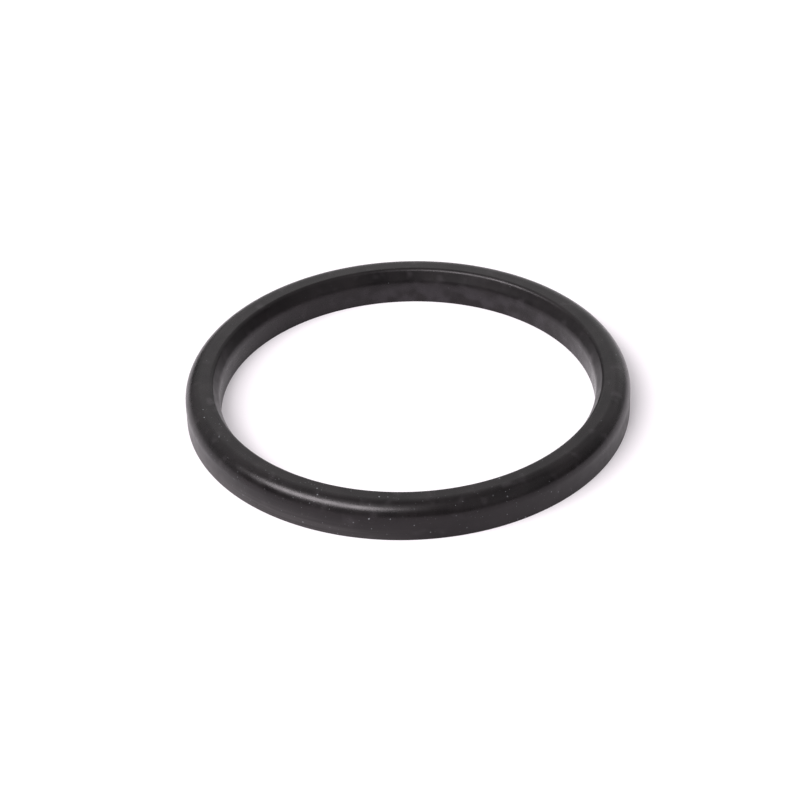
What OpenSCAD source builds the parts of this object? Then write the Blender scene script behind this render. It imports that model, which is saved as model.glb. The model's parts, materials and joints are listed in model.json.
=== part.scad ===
// Group head gasket of an espresso machine, moulded in one piece from black rubber.
//
// The ring sits in the groove of the brewing group. Its flat back face seats on
// the bottom of the groove, and the rim of the filter holder is turned up against
// its crown. The crown is a flat land between a well rounded outer shoulder and a
// steep bevel that leads in to the bore. The back face meets its walls at crisp edges.
//
// Lengths are in millimetres. The axis of the ring is Z, the back face lies at
// Z = 0 and the crown faces +Z.

/* [Ring] */
// Outside diameter, which fills the groove
outer_d = 66; // [50:0.5:90]
// Radial width of the rubber, from the bore to the outer wall
wall_w = 5.1; // [3.5:0.1:9]
// Height from the back face to the crown
ring_h = 5.5; // [4.5:0.1:10]

/* [Crown] */
// Radius of the outer shoulder
outer_round = 2.4; // [0.5:0.1:2.8]
// Radial width of the bevel, measured between its sharp corners
bevel_w = 1.05; // [0.5:0.05:1.5]
// Height of the bevel along the axis, measured between its sharp corners
bevel_h = 2; // [1:0.1:2.5]
// Radius that joins the land to the bevel
land_round = 0.7; // [0.2:0.1:1]
// Radius that joins the bevel to the bore
bore_round = 2.3; // [0.5:0.1:3]

/* [Back face] */
// Radius that the mould leaves on both edges of the back face
back_round = 0.1; // [0.1:0.05:0.5]

/* [Hidden] */
outer_r = outer_d / 2;
bore_r = outer_r - wall_w;
// The bevel turns this far from the land, and the rest of the way down to the bore
land_turn = atan2(bevel_h, bevel_w);
bore_turn = 90 - land_turn;
// Its two radii share its length, and a straight stretch stays between them
most_run = (norm([bevel_w, bevel_h]) - back_round) / 2;
land_edge = min(land_round, most_run / tan(land_turn / 2));
bore_edge = min(bore_round, most_run / tan(bore_turn / 2));
// The outer shoulder stops short of the bevel's radius, so that a flat land is left
land_start = bevel_w + land_edge * tan(land_turn / 2);
outer_shoulder = min(outer_round, wall_w - land_start - back_round);
// Sharp corners of the section, from the foot of the bore outward and round, with their radii
corners = [
    [bore_r, 0],
    [outer_r, 0],
    [outer_r, ring_h],
    [bore_r + bevel_w, ring_h],
    [bore_r, ring_h - bevel_h]
];
rounds = [back_round, back_round, outer_shoulder, land_edge, bore_edge];
// What is cut away at a corner reaches past it, to this many times its arc's radius
reach = 1.5;
$fn = 180;

function unit(v) = v / norm(v);

// The rubber that rounding a corner takes away. The arc of radius r touches both its edges.
module corner_waste(before, corner, after, r) {
    to_before = unit(before - corner);
    to_after = unit(after - corner);
    half = acos(to_before * to_after) / 2;
    run = r / tan(half);
    centre = unit(to_before + to_after) * r / sin(half);
    translate(corner + centre)
        difference() {
            polygon([
                [0, 0],
                (to_before * run - centre) * reach,
                -centre * reach,
                (to_after * run - centre) * reach
            ]);
            circle(r);
        }
}

// Section of the rubber at its true distance from the axis: X is the radius, Y the height.
module section() {
    last = len(corners) - 1;
    difference() {
        polygon(corners);
        for (i = [0:last])
            corner_waste(
                corners[i == 0 ? last : i - 1],
                corners[i],
                corners[i == last ? 0 : i + 1],
                rounds[i]
            );
    }
}

// The whole ring, turned from its section.
module gasket() {
    color([0.13, 0.13, 0.13])
        rotate_extrude()
            section();
}

gasket();
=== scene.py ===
"""Looks of a group head gasket: a moulded black rubber ring on a white table, lit by two softboxes."""

import json
import math

import bpy
from mathutils import Matrix, Quaternion, Vector


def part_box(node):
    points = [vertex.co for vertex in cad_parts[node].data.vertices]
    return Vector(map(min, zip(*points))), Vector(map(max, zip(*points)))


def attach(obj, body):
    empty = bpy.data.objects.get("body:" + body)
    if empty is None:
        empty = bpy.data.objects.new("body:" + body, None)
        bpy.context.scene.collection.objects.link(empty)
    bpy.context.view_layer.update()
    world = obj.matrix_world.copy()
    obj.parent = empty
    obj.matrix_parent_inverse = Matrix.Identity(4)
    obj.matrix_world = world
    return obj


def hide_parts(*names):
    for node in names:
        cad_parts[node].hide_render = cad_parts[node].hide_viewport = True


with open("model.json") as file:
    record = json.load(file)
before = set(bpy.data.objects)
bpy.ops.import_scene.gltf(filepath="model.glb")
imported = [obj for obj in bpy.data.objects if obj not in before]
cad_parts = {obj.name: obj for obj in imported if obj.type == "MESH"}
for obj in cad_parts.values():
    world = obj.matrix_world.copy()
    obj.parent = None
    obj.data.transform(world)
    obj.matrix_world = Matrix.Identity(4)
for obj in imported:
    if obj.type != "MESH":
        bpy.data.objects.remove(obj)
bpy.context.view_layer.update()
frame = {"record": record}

MM = 0.001
# A Mix node's colour sockets share their names with its other sockets, so they go by their places
COLOUR_A = 6
COLOUR_B = 7
COLOUR_OUT = 2
# Nearly all values of a Noise node lie between these
NOISE_LOW = 0.3
NOISE_HIGH = 0.7


def linear(hex_colour):
    """An sRGB hex colour as linear red, green, blue and a full alpha."""
    channels = [int(hex_colour[i:i + 2], 16) / 255 for i in (1, 3, 5)]
    return tuple(c / 12.92 if c <= 0.04045 else ((c + 0.055) / 1.055) ** 2.4 for c in channels) + (1.0,)


def add(tree, kind, settings=None, links=None):
    """Adds a node. Settings name its properties or give its inputs their values; links feed its inputs."""
    node = tree.nodes.new(kind)
    for name, value in (settings or {}).items():
        if isinstance(name, str) and hasattr(node, name):
            setattr(node, name, value)
        else:
            node.inputs[name].default_value = value
    for name, source in (links or {}).items():
        tree.links.new(source, node.inputs[name])
    return node


def new_material(name):
    """An empty material and its node tree."""
    material = bpy.data.materials.new(name)
    material.use_nodes = True
    material.node_tree.nodes.clear()
    return material, material.node_tree


def toward(azimuth, elevation):
    """Unit vector to a place in the studio. Azimuth 0 is the picture's right and 90 behind the ring."""
    a, e = math.radians(azimuth), math.radians(elevation)
    return Vector((math.cos(a) * math.cos(e), math.sin(a) * math.cos(e), math.sin(e)))


# Sizes of the ring

mounts = {mount["name"]: mount for mount in frame["record"]["mounts"]}
OUTER_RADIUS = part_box("gasket")[1].x
RING_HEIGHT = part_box("gasket")[1].z
BORE_RADIUS = mounts["bore"]["dims"]["r_mm"] * MM
OUTER_ROUND = 2.4 * MM
BEVEL_WIDTH = 1.05 * MM
BEVEL_HEIGHT = 2.0 * MM
LAND_ROUND = 0.7 * MM
BORE_ROUND = 2.3 * MM
BACK_ROUND = 0.1 * MM
# Steps of the turned mesh once round the axis
STEPS_ROUND = 360

# Sizes of what shows on the rubber

# Across a cloud of bloom, and across a paler smudge of it
CLOUD = 5.0 * MM
SMUDGE = 2.2 * MM
# The noise's values at which each of them starts and is full; in the bore the smudges crowd together
CLOUD_RISE = (0.35, 0.65)
SMUDGE_RISE = (0.58, 0.82)
CROWDED_SMUDGE_RISE = (0.38, 0.66)
# Crowded smudges are full where the surface lies this near to the bore's radius, and gone this far outside it
BORE_SMUDGE_FULL = 0.1 * MM
BORE_SMUDGE_GONE = 0.5 * MM
# Those smudges and the outer wall's dullness are full below the first height and gone above the second
WALL_FULL = 1.8 * MM
WALL_GONE = 4.2 * MM
# From one turning mark of the mould to the next, drawn coarser than the real ones, which are too fine to show
MARK_PITCH = 0.28 * MM
# How far a mark runs before it fades
MARK_RUN = 12.0 * MM
# The film of dust, partly real dust and partly painted sheen, is full below the first height and gone above
# the second
DUST_AND_SHEEN_FULL = 0.6 * MM
DUST_AND_SHEEN_GONE = 3.2 * MM
# What the turning marks leave of the film of dust and painted sheen where they thin it most
DUST_AND_SHEEN_LEFT = 0.4
# Two sizes of loose grains: how far apart the grains can lie, and their radius
COARSE_GRAINS = (1.2 * MM, 0.14 * MM)
FINE_GRAINS = (0.5 * MM, 0.06 * MM)
# A grain is full inside this share of its radius
GRAIN_CORE = 0.5
# The share of the places for a grain that hold one, away from the grains' side and in its middle
GRAINS_FEW = 0.07
GRAINS_MANY = 0.6
# How strongly the faintest and the palest grain show
GRAIN_FAINT = 0.12
GRAIN_PALE = 0.65
# Azimuths of the sides where the bore's smudges, the film and the loose grains are thickest
SMUDGE_SIDE = 55
# The film's side faces the softboxes: its paleness there is partly real dust and partly painted sheen of the
# lit table
DUST_AND_SHEEN_SIDE = 206
GRAIN_SIDE = 250
# How far toward its side a point lies where each of them starts and is full, as shares of the radius
SMUDGE_REACH = (0.4, 0.9)
DUST_AND_SHEEN_REACH = (0.3, 0.9)
GRAIN_REACH = (0.2, 0.95)
# Across a patch of more or less gloss
GLOSS_PATCH = 1.6 * MM
# Roughness of the glossiest and the dullest patch, and what each other thing adds to it at its strongest
GLOSSY = 0.2
SATIN = 0.29
MARKS_DULL_BY = 0.08
WALL_DULLS_BY = 0.07
BEVEL_DULLS_BY = 0.1
FILM_DULLS_BY = 0.06
GRAINS_DULL_BY = 0.4
# The bevel's dullness ends over this height above and below the bevel's lower corner
BEVEL_FADE = 0.2 * BEVEL_HEIGHT
# Grain of the moulded skin, drawn coarser than the real one, which is too fine to show, and its depth
SKIN_GRAIN = 0.25 * MM
SKIN_DEPTH = 0.005 * MM
# Height of the turning marks and of the loose grains, as shares of that depth
MARK_RELIEF = 0.5
GRAIN_RELIEF = 3.0
# Length and depth of the slow waves in the rubber
WAVE = 4.0 * MM
WAVE_DEPTH = 0.03 * MM


# The rubber


def on_side(tree, place, azimuth, radius, reach, least=0.0, most=1.0):
    """How thick something lies round the ring: most in the middle of its side, and least away from it."""
    nearness = add(
        tree,
        "ShaderNodeVectorMath",
        {"operation": "DOT_PRODUCT", 1: toward(azimuth, 0) / radius},
        {0: place},
    )
    start, full = reach
    share = add(
        tree,
        "ShaderNodeMapRange",
        {
            "interpolation_type": "SMOOTHSTEP",
            "From Min": start,
            "From Max": full,
            "To Min": least,
            "To Max": most,
        },
        {"Value": nearness.outputs["Value"]},
    )
    return share.outputs["Result"]


def low_down(tree, height, full, gone):
    """How thick something lies up a wall: 1 below the height full, and 0 above the height gone."""
    share = add(
        tree,
        "ShaderNodeMapRange",
        {
            "interpolation_type": "SMOOTHSTEP",
            "From Min": full,
            "From Max": gone,
            "To Min": 1.0,
            "To Max": 0.0,
        },
        {"Value": height},
    )
    return share.outputs["Result"]


def bloom(tree, place, radius, low):
    """Bloom is wax that creeps out of the rubber and greys it.

    It lies in soft clouds, in paler smudges here and there, and in smudges that crowd one side of the bore.
    """
    clouds = add(tree, "ShaderNodeTexNoise", {"Scale": 1 / CLOUD, "Detail": 4.0}, {"Vector": place})
    clouding = add(
        tree,
        "ShaderNodeMapRange",
        {"From Min": CLOUD_RISE[0], "From Max": CLOUD_RISE[1]},
        {"Value": clouds.outputs["Fac"]},
    )
    smudges = add(tree, "ShaderNodeTexNoise", {"Scale": 1 / SMUDGE, "Detail": 1.0}, {"Vector": place})
    scattered, crowded = [
        add(
            tree,
            "ShaderNodeMapRange",
            {"interpolation_type": "SMOOTHSTEP", "From Min": start, "From Max": full},
            {"Value": smudges.outputs["Fac"]},
        )
        for start, full in (SMUDGE_RISE, CROWDED_SMUDGE_RISE)
    ]
    in_bore = add(
        tree,
        "ShaderNodeMapRange",
        {"From Min": BORE_RADIUS + BORE_SMUDGE_GONE, "From Max": BORE_RADIUS + BORE_SMUDGE_FULL},
        {"Value": radius},
    )
    bore_smudges = on_side(tree, place, SMUDGE_SIDE, BORE_RADIUS, SMUDGE_REACH)
    for share in (in_bore.outputs["Result"], crowded.outputs["Result"], low):
        bore_smudges = add(
            tree,
            "ShaderNodeMath",
            {"operation": "MULTIPLY"},
            {0: bore_smudges, 1: share},
        ).outputs["Value"]
    return clouding.outputs["Result"], scattered.outputs["Result"], bore_smudges


def turning_marks(tree, axes, radius):
    """The mould was turned, so fine marks run round the axis, each one fading in and out along its way."""
    across = add(
        tree,
        "ShaderNodeCombineXYZ",
        links={"X": radius, "Y": axes.outputs["Z"], "Z": axes.outputs["X"]},
    )
    stretched = add(
        tree,
        "ShaderNodeVectorMath",
        {"operation": "MULTIPLY", 1: (1 / MARK_PITCH, 1 / MARK_PITCH, 1 / MARK_RUN)},
        {0: across.outputs["Vector"]},
    )
    along = add(tree, "ShaderNodeMath", {"operation": "MULTIPLY", 1: 1 / MARK_RUN}, {0: axes.outputs["Y"]})
    marks = add(
        tree,
        "ShaderNodeTexNoise",
        {"noise_dimensions": "4D", "Scale": 1.0, "Detail": 1.0},
        {"Vector": stretched.outputs["Vector"], "W": along.outputs["Value"]},
    )
    return marks.outputs["Fac"]


def dust_film_and_painted_sheen(tree, place, height, marks):
    """A film of dust low on the walls, thinned by the turning marks. It is partly real dust and partly
    painted sheen, and is thickest on the side that the softboxes light.
    """
    unbroken = add(
        tree,
        "ShaderNodeMapRange",
        {"From Min": NOISE_LOW, "From Max": NOISE_HIGH, "To Min": DUST_AND_SHEEN_LEFT, "To Max": 1.0},
        {"Value": marks},
    )
    dust_and_sheen = on_side(tree, place, DUST_AND_SHEEN_SIDE, OUTER_RADIUS, DUST_AND_SHEEN_REACH)
    for share in (low_down(tree, height, DUST_AND_SHEEN_FULL, DUST_AND_SHEEN_GONE), unbroken.outputs["Result"]):
        dust_and_sheen = add(tree, "ShaderNodeMath", {"operation": "MULTIPLY"}, {0: dust_and_sheen, 1: share}).outputs["Value"]
    return dust_and_sheen


def grains_of_one_size(tree, place, crowding, spacing, grain_radius):
    """Scattered grains. Each place for one holds it with the chance that crowding says."""
    scatter = add(tree, "ShaderNodeTexVoronoi", {"Scale": 1 / spacing}, {"Vector": place})
    chance = add(tree, "ShaderNodeSeparateColor", links={"Color": scatter.outputs["Color"]})
    there = add(
        tree,
        "ShaderNodeMath",
        {"operation": "LESS_THAN"},
        {0: chance.outputs["Red"], 1: crowding},
    )
    disc = add(
        tree,
        "ShaderNodeMapRange",
        {"From Min": grain_radius / spacing, "From Max": GRAIN_CORE * grain_radius / spacing},
        {"Value": scatter.outputs["Distance"]},
    )
    paleness = add(
        tree,
        "ShaderNodeMapRange",
        {"To Min": GRAIN_FAINT, "To Max": GRAIN_PALE},
        {"Value": chance.outputs["Green"]},
    )
    grains = there.outputs["Value"]
    for share in (disc, paleness):
        grains = add(
            tree,
            "ShaderNodeMath",
            {"operation": "MULTIPLY"},
            {0: grains, 1: share.outputs["Result"]},
        ).outputs["Value"]
    return grains


def loose_grains(tree, place):
    """Grains of dust and lint. Most of the places for one are empty, but fewer so on the grains' own side."""
    crowding = on_side(tree, place, GRAIN_SIDE, OUTER_RADIUS, GRAIN_REACH, GRAINS_FEW, GRAINS_MANY)
    coarse = grains_of_one_size(tree, place, crowding, *COARSE_GRAINS)
    fine = grains_of_one_size(tree, place, crowding, *FINE_GRAINS)
    grains = add(tree, "ShaderNodeMath", {"operation": "MAXIMUM"}, {0: coarse, 1: fine})
    return grains.outputs["Value"]


def outer_wall(tree, radius, low):
    """Where the outer wall is. It ends softly on the outer shoulder."""
    outside = add(
        tree,
        "ShaderNodeMapRange",
        {"From Min": OUTER_RADIUS - OUTER_ROUND, "From Max": OUTER_RADIUS - OUTER_ROUND / 2},
        {"Value": radius},
    )
    wall = add(tree, "ShaderNodeMath", {"operation": "MULTIPLY"}, {0: low, 1: outside.outputs["Result"]})
    return wall.outputs["Value"]


def inner_bevel(tree, radius, height):
    """Where the bevel between the land and the bore is. It ends softly on the rounds above and below it."""
    top_radius = BORE_RADIUS + BEVEL_WIDTH
    foot_height = RING_HEIGHT - BEVEL_HEIGHT
    inside = add(
        tree,
        "ShaderNodeMapRange",
        {"From Min": top_radius + LAND_ROUND / 2, "From Max": top_radius},
        {"Value": radius},
    )
    high = add(
        tree,
        "ShaderNodeMapRange",
        {"From Min": foot_height - BEVEL_FADE, "From Max": foot_height + BEVEL_FADE},
        {"Value": height},
    )
    bevel = add(
        tree,
        "ShaderNodeMath",
        {"operation": "MULTIPLY"},
        {0: inside.outputs["Result"], 1: high.outputs["Result"]},
    )
    return bevel.outputs["Value"]


def layered_colour(tree, clouds, layers):
    """The clouded rubber with layers over it, each a share of the surface and its colour."""
    body = add(
        tree,
        "ShaderNodeMix",
        {"data_type": "RGBA", COLOUR_A: linear("#0d0b0c"), COLOUR_B: linear("#181516")},
        {"Factor": clouds},
    )
    colour = body.outputs[COLOUR_OUT]
    for share, hex_colour in layers:
        colour = add(
            tree,
            "ShaderNodeMix",
            {"data_type": "RGBA", COLOUR_B: linear(hex_colour)},
            {"Factor": share, COLOUR_A: colour},
        ).outputs[COLOUR_OUT]
    return colour


def patchy_roughness(tree, place, dulled):
    """Roughness that varies in patches. Dulled lists shares of the surface and what each one adds to it."""
    patches = add(tree, "ShaderNodeTexNoise", {"Scale": 1 / GLOSS_PATCH, "Detail": 3.0}, {"Vector": place})
    roughness = add(
        tree,
        "ShaderNodeMapRange",
        {"From Min": NOISE_LOW, "From Max": NOISE_HIGH, "To Min": GLOSSY, "To Max": SATIN},
        {"Value": patches.outputs["Fac"]},
    ).outputs["Result"]
    for share, dulls_by in dulled:
        roughness = add(
            tree,
            "ShaderNodeMath",
            {"operation": "MULTIPLY_ADD", 1: dulls_by},
            {0: share, 2: roughness},
        ).outputs["Value"]
    return roughness


def skin_relief(tree, place, marks, grains):
    """The skin's grain with turning marks and loose grains on it, and slow waves in the rubber itself."""
    skin = add(tree, "ShaderNodeTexNoise", {"Scale": 1 / SKIN_GRAIN, "Detail": 2.0}, {"Vector": place})
    relief = skin.outputs["Fac"]
    for share, height in ((marks, MARK_RELIEF), (grains, GRAIN_RELIEF)):
        relief = add(
            tree,
            "ShaderNodeMath",
            {"operation": "MULTIPLY_ADD", 1: height},
            {0: share, 2: relief},
        ).outputs["Value"]
    fine = add(tree, "ShaderNodeBump", {"Strength": 1.0, "Distance": SKIN_DEPTH}, {"Height": relief})
    waves = add(tree, "ShaderNodeTexNoise", {"Scale": 1 / WAVE, "Detail": 1.0}, {"Vector": place})
    slow = add(
        tree,
        "ShaderNodeBump",
        {"Strength": 1.0, "Distance": WAVE_DEPTH},
        {"Height": waves.outputs["Fac"], "Normal": fine.outputs["Normal"]},
    )
    return slow.outputs["Normal"]


def moulded_nitrile_rubber():
    """Carbon-black nitrile rubber from a turned steel mould.

    The eye sees a near-black satin skin with a faint warm cast. Bloom clouds it, the mould's turning marks
    run round it, and dust lies on it as loose grains and as a film low on the walls, which is partly painted
    sheen on the side that faces the softboxes.
    """
    material, tree = new_material("moulded_nitrile_rubber")
    place = add(tree, "ShaderNodeTexCoord").outputs["Object"]
    axes = add(tree, "ShaderNodeSeparateXYZ", links={"Vector": place})
    height = axes.outputs["Z"]
    level = add(tree, "ShaderNodeVectorMath", {"operation": "MULTIPLY", 1: (1.0, 1.0, 0.0)}, {0: place})
    length = add(tree, "ShaderNodeVectorMath", {"operation": "LENGTH"}, {0: level.outputs["Vector"]})
    radius = length.outputs["Value"]

    low = low_down(tree, height, WALL_FULL, WALL_GONE)
    clouds, smudges, bore_smudges = bloom(tree, place, radius, low)
    marks = turning_marks(tree, axes, radius)
    dust_and_sheen = dust_film_and_painted_sheen(tree, place, height, marks)
    grains = loose_grains(tree, place)
    layers = [
        (smudges, "#272426"),
        (bore_smudges, "#2a272a"),
        # The film's pale colour is partly real dust and partly painted sheen, lightening the lower outer wall
        # on the lit side
        (dust_and_sheen, "#403d3e"),
        (grains, "#95979c"),
    ]
    # The outer wall and the bevel are duller than the crown, and dust is dull
    dulled = [
        (marks, MARKS_DULL_BY),
        (outer_wall(tree, radius, low), WALL_DULLS_BY),
        (inner_bevel(tree, radius, height), BEVEL_DULLS_BY),
        (dust_and_sheen, FILM_DULLS_BY),
        (grains, GRAINS_DULL_BY),
    ]

    # Filled rubber reflects a little less than its clear gum would, with a faint warm violet cast
    rubber = add(
        tree,
        "ShaderNodeBsdfPrincipled",
        {"IOR": 1.5, "Specular IOR Level": 0.3, "Specular Tint": linear("#fdf5fa")},
        {
            "Base Color": layered_colour(tree, clouds, layers),
            "Roughness": patchy_roughness(tree, place, dulled),
            "Normal": skin_relief(tree, place, marks, grains),
        },
    )
    add(tree, "ShaderNodeOutputMaterial", links={"Surface": rubber.outputs["BSDF"]})
    return material


# The ring


def rounded_section(corners):
    """Points and outward normals along a closed section with rounded corners.

    Each corner is its distance from the axis, its height, the radius of its round and the steps of the arc.
    """
    points, normals = [], []
    for i, (x, z, round_radius, steps) in enumerate(corners):
        corner = Vector((x, z))
        back = (Vector(corners[i - 1][:2]) - corner).normalized()
        on = (Vector(corners[(i + 1) % len(corners)][:2]) - corner).normalized()
        half = math.acos(back.dot(on)) / 2
        centre = corner + (back + on).normalized() * round_radius / math.sin(half)
        start = (corner + back * round_radius / math.tan(half) - centre).normalized()
        end = (corner + on * round_radius / math.tan(half) - centre).normalized()
        sweep = math.acos(start.dot(end))
        for k in range(steps + 1):
            share = k / steps
            ray = (start * math.sin((1 - share) * sweep) + end * math.sin(share * sweep)) / math.sin(sweep)
            points.append(centre + ray * round_radius)
            normals.append(ray)
    return points, normals


def turned_ring(name, corners, steps_round):
    """A ring turned from a section, with its true surface normals so that highlights run smoothly."""
    points, normals = rounded_section(corners)
    count = len(points)
    vertices, directions = [], []
    for i in range(steps_round):
        c, s = math.cos(2 * math.pi * i / steps_round), math.sin(2 * math.pi * i / steps_round)
        vertices += [(p.x * c, p.x * s, p.y) for p in points]
        directions += [(n.x * c, n.x * s, n.y) for n in normals]
    faces = []
    for i in range(steps_round):
        here, there = i * count, (i + 1) % steps_round * count
        for k in range(count):
            m = (k + 1) % count
            faces.append((here + k, there + k, there + m, here + m))
    mesh = bpy.data.meshes.new(name)
    mesh.from_pydata(vertices, [], faces)
    mesh.shade_smooth()
    mesh.normals_split_custom_set_from_vertices(directions)
    ring = bpy.data.objects.new(name, mesh)
    bpy.context.scene.collection.objects.link(ring)
    return ring


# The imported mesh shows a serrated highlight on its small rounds, so a finer one stands in for it
gasket_ring = turned_ring(
    "gasket_ring",
    [
        (BORE_RADIUS, 0.0, BACK_ROUND, 5),
        (OUTER_RADIUS, 0.0, BACK_ROUND, 5),
        (OUTER_RADIUS, RING_HEIGHT, OUTER_ROUND, 26),
        (BORE_RADIUS + BEVEL_WIDTH, RING_HEIGHT, LAND_ROUND, 14),
        (BORE_RADIUS, RING_HEIGHT - BEVEL_HEIGHT, BORE_ROUND, 10),
    ],
    STEPS_ROUND,
)
gasket_ring.data.materials.append(moulded_nitrile_rubber())
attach(gasket_ring, "root")
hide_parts("gasket")


# The table

TABLE_SIZE = 12.0
# A hair above the ring's back face, so that from below the ring is seen in front of the table
TABLE_HEIGHT = 0.02 * MM
# Strength of the glow that lifts the table to white
TABLE_LIFT = 0.31


def white_laminate():
    """A white laminate table top: matt and even, so that only the ring's faint violet shadow shows on it."""
    material, tree = new_material("white_laminate")
    # The lift shows to the camera and in reflections, and adds nothing to the diffuse light on the ring
    paths = add(tree, "ShaderNodeLightPath")
    seen = paths.outputs["Is Camera Ray"]
    for path in ("Is Glossy Ray", "Is Transmission Ray"):
        seen = add(
            tree,
            "ShaderNodeMath",
            {"operation": "MAXIMUM"},
            {0: seen, 1: paths.outputs[path]},
        ).outputs["Value"]
    lift = add(tree, "ShaderNodeMath", {"operation": "MULTIPLY", 1: TABLE_LIFT}, {0: seen})
    sheet = add(
        tree,
        "ShaderNodeBsdfPrincipled",
        {
            "Base Color": linear("#c8c3c7"),
            "Roughness": 0.9,
            "Specular IOR Level": 0.0,
            "Emission Color": linear("#fff9fe"),
        },
        {"Emission Strength": lift.outputs["Value"]},
    )
    add(tree, "ShaderNodeOutputMaterial", links={"Surface": sheet.outputs["BSDF"]})
    return material


bpy.ops.mesh.primitive_plane_add(size=TABLE_SIZE, location=(0.0, 0.0, TABLE_HEIGHT))
table = bpy.context.object
table.name = "table"
table.data.materials.append(white_laminate())


# Camera

CAMERA_ELEVATION = math.radians(35.17)
CAMERA_DISTANCE = 359.5 * MM
CAMERA_ROLL = math.radians(1.935)
# Width of the sensor and focal length in millimetres, as the camera takes them
SENSOR = 36.0
FOCAL = 108.24
CLIP_NEAR = 0.01
CLIP_FAR = 30.0
# The ring's middle lies this far right of and above the picture's middle, as shares of the picture's width
RING_RIGHT = 0.0102
RING_UP = -0.0036

# The ring's middle lies along sight, and the camera looks along ahead
sight = Vector((0.0, math.cos(CAMERA_ELEVATION), -math.sin(CAMERA_ELEVATION)))
level_right = Vector((1.0, 0.0, 0.0))
level_up = Vector((0.0, math.sin(CAMERA_ELEVATION), math.cos(CAMERA_ELEVATION)))
right = level_right * math.cos(CAMERA_ROLL) - level_up * math.sin(CAMERA_ROLL)
up = level_right * math.sin(CAMERA_ROLL) + level_up * math.cos(CAMERA_ROLL)
ahead = (sight * FOCAL / SENSOR - right * RING_RIGHT - up * RING_UP).normalized()
right = (right - ahead * right.dot(ahead)).normalized()
up = right.cross(ahead)

lens = bpy.data.cameras.new("camera")
lens.sensor_width = SENSOR
lens.lens = FOCAL
lens.clip_start = CLIP_NEAR
lens.clip_end = CLIP_FAR
camera = bpy.data.objects.new("camera", lens)
bpy.context.scene.collection.objects.link(camera)
turn = Matrix((right, up, -ahead)).transposed().to_4x4()
camera.matrix_world = Matrix.Translation(sight * -CAMERA_DISTANCE) @ turn
bpy.context.scene.camera = camera


# Light

# Both softboxes stand this far from the ring
LAMP_DISTANCE = 1.8


def softbox(name, azimuth, elevation, wide, tall, tilt, radiance):
    """A flat soft lamp turned to the ring. Wide and tall are the angles that it fills, and tilt turns it."""
    lamp = bpy.data.lights.new(name, "AREA")
    lamp.shape = "RECTANGLE"
    lamp.size = 2 * LAMP_DISTANCE * math.tan(math.radians(wide / 2))
    lamp.size_y = 2 * LAMP_DISTANCE * math.tan(math.radians(tall / 2))
    lamp.energy = radiance * math.pi * lamp.size * lamp.size_y
    holder = bpy.data.objects.new(name, lamp)
    place = toward(azimuth, elevation)
    holder.location = place * LAMP_DISTANCE
    holder.rotation_mode = "QUATERNION"
    holder.rotation_quaternion = place.to_track_quat("Z", "Y") @ Quaternion((0, 0, 1), math.radians(tilt))
    bpy.context.scene.collection.objects.link(holder)


softbox("key_softbox", azimuth=220, elevation=51, wide=45, tall=21, tilt=8, radiance=12.9)
softbox("low_softbox", azimuth=193, elevation=40, wide=22, tall=14, tilt=0, radiance=5.5)

# The pale room round the table, as soft glows: azimuth, elevation and radiance at the middle of each
GLOWS = [
    # The wall behind the table, low and high
    (40, 8, 0.4),
    (80, 8, 0.7),
    (70, 42, 0.45),
    (120, 42, 0.78),
    # The wall on the left, and the light that the softboxes spill below themselves
    (160, 8, 0.5),
    (240, 8, 0.42),
    # The walls on the right and at the front right, high up
    (20, 42, 0.32),
    (320, 42, 0.53),
    # The wall round the key softbox, which lights it too
    (218, 57, 1.2),
    # The dim room in front
    (315, 10, 0.25),
    # The ceiling
    (0, 90, 0.33),
]
# A glow is full this near to its middle, and ends this far from it
GLOW_CORE = math.radians(6)
GLOW_REACH = math.radians(36)


def pale_room():
    """The world as a dim room with soft glows, the same for every kind of ray."""
    world = bpy.data.worlds.new("pale_room")
    world.use_nodes = True
    tree = world.node_tree
    tree.nodes.clear()
    direction = add(tree, "ShaderNodeTexCoord").outputs["Generated"]
    total = None
    for azimuth, elevation, radiance in GLOWS:
        nearness = add(
            tree,
            "ShaderNodeVectorMath",
            {"operation": "DOT_PRODUCT", 1: toward(azimuth, elevation)},
            {0: direction},
        )
        glow = add(
            tree,
            "ShaderNodeMapRange",
            {
                "interpolation_type": "SMOOTHSTEP",
                "From Min": math.cos(GLOW_REACH),
                "From Max": math.cos(GLOW_CORE),
                "To Max": radiance,
            },
            {"Value": nearness.outputs["Value"]},
        ).outputs["Result"]
        if total is None:
            total = glow
        else:
            total = add(tree, "ShaderNodeMath", {"operation": "ADD"}, {0: total, 1: glow}).outputs["Value"]
    light = add(tree, "ShaderNodeBackground", {"Color": linear("#ffffff")}, {"Strength": total})
    add(tree, "ShaderNodeOutputWorld", links={"Surface": light.outputs["Background"]})
    return world


bpy.context.scene.world = pale_room()
bpy.context.scene.view_settings.view_transform = "Standard"
